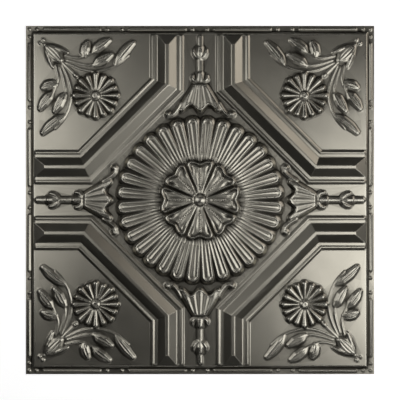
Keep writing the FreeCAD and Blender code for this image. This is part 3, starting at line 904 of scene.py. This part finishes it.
        centre = add("GeometryNodePoints")
        number = add("GeometryNodeInputIndex")
        share = add("ShaderNodeMath")
        share.operation = "DIVIDE"
        angle = add("ShaderNodeMath")
        angle.operation = "MULTIPLY"
        angle.inputs[1].default_value = 2.0 * math.pi
        turn = add("ShaderNodeCombineXYZ")
        ring = add("GeometryNodeInstanceOnPoints")
        solid = add("GeometryNodeRealizeInstances")
        joined = add("GeometryNodeMergeByDistance")
        finish = add("GeometryNodeSetMaterial")
        link(given.outputs["Quarters"], centre.inputs["Count"])
        link(number.outputs["Index"], share.inputs[0])
        link(given.outputs["Quarters"], share.inputs[1])
        link(share.outputs["Value"], angle.inputs[0])
        link(angle.outputs["Value"], turn.inputs["Z"])
        link(centre.outputs["Points"], ring.inputs["Points"])
        link(quarter.outputs["Geometry"], ring.inputs["Instance"])
        link(turn.outputs["Vector"], ring.inputs["Rotation"])
        link(ring.outputs["Instances"], solid.inputs["Geometry"])
        link(solid.outputs["Geometry"], joined.inputs["Geometry"])
        link(given.outputs["Joint"], joined.inputs["Distance"])
        link(joined.outputs["Geometry"], finish.inputs["Geometry"])
        link(given.outputs["Finish"], finish.inputs["Material"])
        link(finish.outputs["Geometry"], result.inputs["Geometry"])
        return tree

    def build(self, finish: bpy.types.Material) -> bpy.types.Object:
        """Makes the finished sheet.

        Args:
            finish: The sheet's material.

        Returns:
            The piece, riding on the tile's body.
        """
        relief = self.shape()
        item = self.wedge(relief)
        tree = self.node_tree()
        modifier = item.modifiers.new("complete_tile", "NODES")
        modifier.node_group = tree
        values = {"Quarters": self.quarters, "Joint": self.joint * MM, "Finish": finish}
        for socket in tree.interface.items_tree:
            if socket.in_out == "INPUT" and socket.name in values:
                modifier[socket.identifier] = values[socket.name]
        evaluated = item.evaluated_get(bpy.context.evaluated_depsgraph_get())
        mesh = bpy.data.meshes.new_from_object(evaluated)
        item.modifiers.remove(modifier)
        item.data = mesh
        self.shade(mesh, relief)
        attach(item, "root")
        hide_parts("ceiling_tile")
        LOG.info("%s: %d triangles", self.name, len(mesh.polygons))
        return item

    def slope(self, relief: ReliefMap, points: Array) -> Array:
        """Upward facing of the relief.

        Args:
            relief: The finished relief.
            points: Places on the tile.

        Returns:
            A row of unit length for each place.
        """
        rows = np.ones_like(points)
        height = relief.softened(relief.height, self.gloss_softness)
        for axis, grade in enumerate(np.gradient(height, relief.step)):
            rows[:, axis] = -relief.sample(grade, np.abs(points[:, :2])) * np.sign(points[:, axis])
        return rows / np.linalg.norm(rows, axis=1)[:, None]

    def shade(self, mesh: bpy.types.Mesh, relief: ReliefMap) -> None:
        """Gives each corner of the mesh the slope of the relief there, and its painted shade and rubbing.

        A plain triangle beside a crease takes the slope at its middle, so that the crease stays sharp.
        A level or broad triangle takes the painted shade and rubbing at its middle, so that none spreads
        over a flat.

        Args:
            mesh: The finished sheet.
            relief: The relief that it was made from.
        """
        points = np.empty(len(mesh.vertices) * 3)
        mesh.vertices.foreach_get("co", points)
        points = points.reshape(-1, 3) / MM
        corners = np.empty(len(mesh.loops), int)
        mesh.loops.foreach_get("vertex_index", corners)
        corners = corners.reshape(-1, 3)
        facing = np.empty(len(mesh.polygons) * 3)
        mesh.polygons.foreach_get("normal", facing)
        facing = facing.reshape(-1, 3)
        above = np.sign(facing[:, 2])[:, None]
        centres = points[corners].mean(axis=1)
        middle = self.slope(relief, centres) * above
        normals = self.slope(relief, points)[corners] * above[:, None]
        edges = points[np.roll(corners, -1, axis=1)] - points[corners]
        area = np.linalg.norm(np.cross(edges[:, 0], edges[:, 1]), axis=1)
        width = area / np.linalg.norm(edges, axis=2).max(axis=1)
        unlike = np.linalg.norm(normals.mean(axis=1) - middle, axis=1) > self.unlike
        level = np.linalg.norm(middle[:, :2], axis=1) < self.level
        plain = level | (width > self.wide) & unlike
        normals[plain] = middle[plain][:, None, :]
        upright = np.abs(facing[:, 2]) < self.upright
        normals[upright] = facing[upright][:, None, :]
        mesh.shade_smooth()
        mesh.normals_split_custom_set(normals.reshape(-1, 3).tolist())
        # Painted shade in hollows and rubbing on crests, for the material
        shade_and_wear = relief.sample(relief.shade_and_wear, np.abs(points[:, :2]))[corners]
        broad = level | (width > self.broad)
        shade_and_wear[broad] = relief.sample(relief.shade_and_wear, np.abs(centres[broad, :2]))[:, None]
        mesh.attributes.new("shade_and_wear", "FLOAT", "CORNER").data.foreach_set("value", shade_and_wear.ravel())


@dataclass
class SoftBox:
    """A large flat lamp that faces the tile."""

    name: str
    place: tuple[float, float, float]
    size: tuple[float, float]
    glow: float
    colour: Colour = (1.0, 1.0, 1.0)

    def build(self) -> None:
        """Hangs the lamp. Its glow is the brightness of its face."""
        lamp = bpy.data.lights.new(self.name, "AREA")
        lamp.shape = "RECTANGLE"
        lamp.size, lamp.size_y = self.size
        lamp.energy = self.glow * math.pi * self.size[0] * self.size[1]
        lamp.color = self.colour
        item = bpy.data.objects.new(self.name, lamp)
        item.location = self.place
        item.rotation_euler = (-Vector(self.place)).to_track_quat("-Z", "Y").to_euler()
        bpy.context.scene.collection.objects.link(item)


@dataclass
class Studio:
    """Plain floor, soft lamps and the camera above the tile."""

    floor_size: float = 40.0
    floor_colour: Colour = (0.93, 0.93, 0.93)
    floor_roughness: float = 0.9
    floor_glow: float = 0.3
    floor_drop: float = 0.0002
    world_glow: float = 0.02
    camera_height: float = 1.3
    frame_width: float = 0.7148
    sensor_width: float = 36.0
    lamps: tuple[SoftBox, ...] = (
        SoftBox("lamp_right", (0.95, -0.18, 1.25), (0.9, 1.35), 4.0),
        SoftBox("lamp_left", (-0.95, 0.18, 1.25), (0.9, 1.1), 2.8),
        SoftBox("lamp_window", (1.95, 1.05, 0.6), (1.7, 0.8), 2.4, (1.0, 0.94, 0.89)),
        SoftBox("lamp_top", (0.0, 0.2, 2.0), (0.9, 0.7), 0.5),
        SoftBox("lamp_front", (1.3, -1.3, 0.95), (0.9, 0.45), 1.2),
        SoftBox("lamp_rear", (-1.3, 1.3, 1.1), (0.9, 0.4), 0.9),
        SoftBox("lamp_north", (0.0, 1.4, 1.25), (1.2, 0.5), 1.1),
        SoftBox("lamp_south", (0.0, -1.4, 1.25), (1.2, 0.5), 1.1),
    )

    def build(self) -> None:
        """Sets up the floor, the lamps, the world and the camera."""
        self.lay_floor()
        for lamp in self.lamps:
            lamp.build()
        world = bpy.data.worlds.new("studio")
        world.use_nodes = True
        glow = self.world_glow
        world.node_tree.nodes["Background"].inputs["Color"].default_value = (glow, glow, glow, 1.0)
        bpy.context.scene.world = world
        self.hang_camera()
        bpy.context.scene.view_settings.view_transform = "Standard"

    def lay_floor(self) -> None:
        """Lays the pale floor just under the tile."""
        half = self.floor_size / 2
        mesh = bpy.data.meshes.new("floor")
        corners = [(-half, -half, 0.0), (half, -half, 0.0), (half, half, 0.0), (-half, half, 0.0)]
        mesh.from_pydata(corners, [], [(0, 1, 2, 3)])
        material = bpy.data.materials.new("floor")
        material.use_nodes = True
        nodes, links = material.node_tree.nodes, material.node_tree.links
        shader = nodes["Principled BSDF"]
        shader.inputs["Base Color"].default_value = (*self.floor_colour, 1.0)
        shader.inputs["Roughness"].default_value = self.floor_roughness
        shader.inputs["Specular IOR Level"].default_value = 0.0
        shader.inputs["Emission Color"].default_value = (1.0, 1.0, 1.0, 1.0)
        ray = nodes.new("ShaderNodeLightPath")
        seen = nodes.new("ShaderNodeMath")
        seen.operation = "MAXIMUM"
        passed = nodes.new("ShaderNodeMath")
        passed.operation = "MAXIMUM"
        glow = nodes.new("ShaderNodeMath")
        glow.operation = "MULTIPLY"
        glow.inputs[1].default_value = self.floor_glow
        links.new(ray.outputs["Is Camera Ray"], seen.inputs[0])
        links.new(ray.outputs["Is Glossy Ray"], seen.inputs[1])
        links.new(seen.outputs["Value"], passed.inputs[0])
        links.new(ray.outputs["Is Transmission Ray"], passed.inputs[1])
        links.new(passed.outputs["Value"], glow.inputs[0])
        links.new(glow.outputs["Value"], shader.inputs["Emission Strength"])
        mesh.materials.append(material)
        item = bpy.data.objects.new("floor", mesh)
        item.location.z = -self.floor_drop
        bpy.context.scene.collection.objects.link(item)

    def hang_camera(self) -> None:
        """Hangs the camera straight above the tile, with its top edge up."""
        camera = bpy.data.cameras.new("camera")
        camera.sensor_width = self.sensor_width
        camera.lens = camera.sensor_width * self.camera_height / self.frame_width
        item = bpy.data.objects.new("camera", camera)
        item.location = (0.0, 0.0, self.camera_height)
        bpy.context.scene.collection.objects.link(item)
        bpy.context.scene.camera = item


def main() -> None:
    """Builds the tile and the studio."""
    logging.basicConfig(level=logging.INFO, format="%(name)s: %(message)s")
    sheet = PressedSheet()
    sheet.build(TinPlate().make())
    Studio().build()
    bpy.context.view_layer.update()


if __name__ == "__main__":
    main()
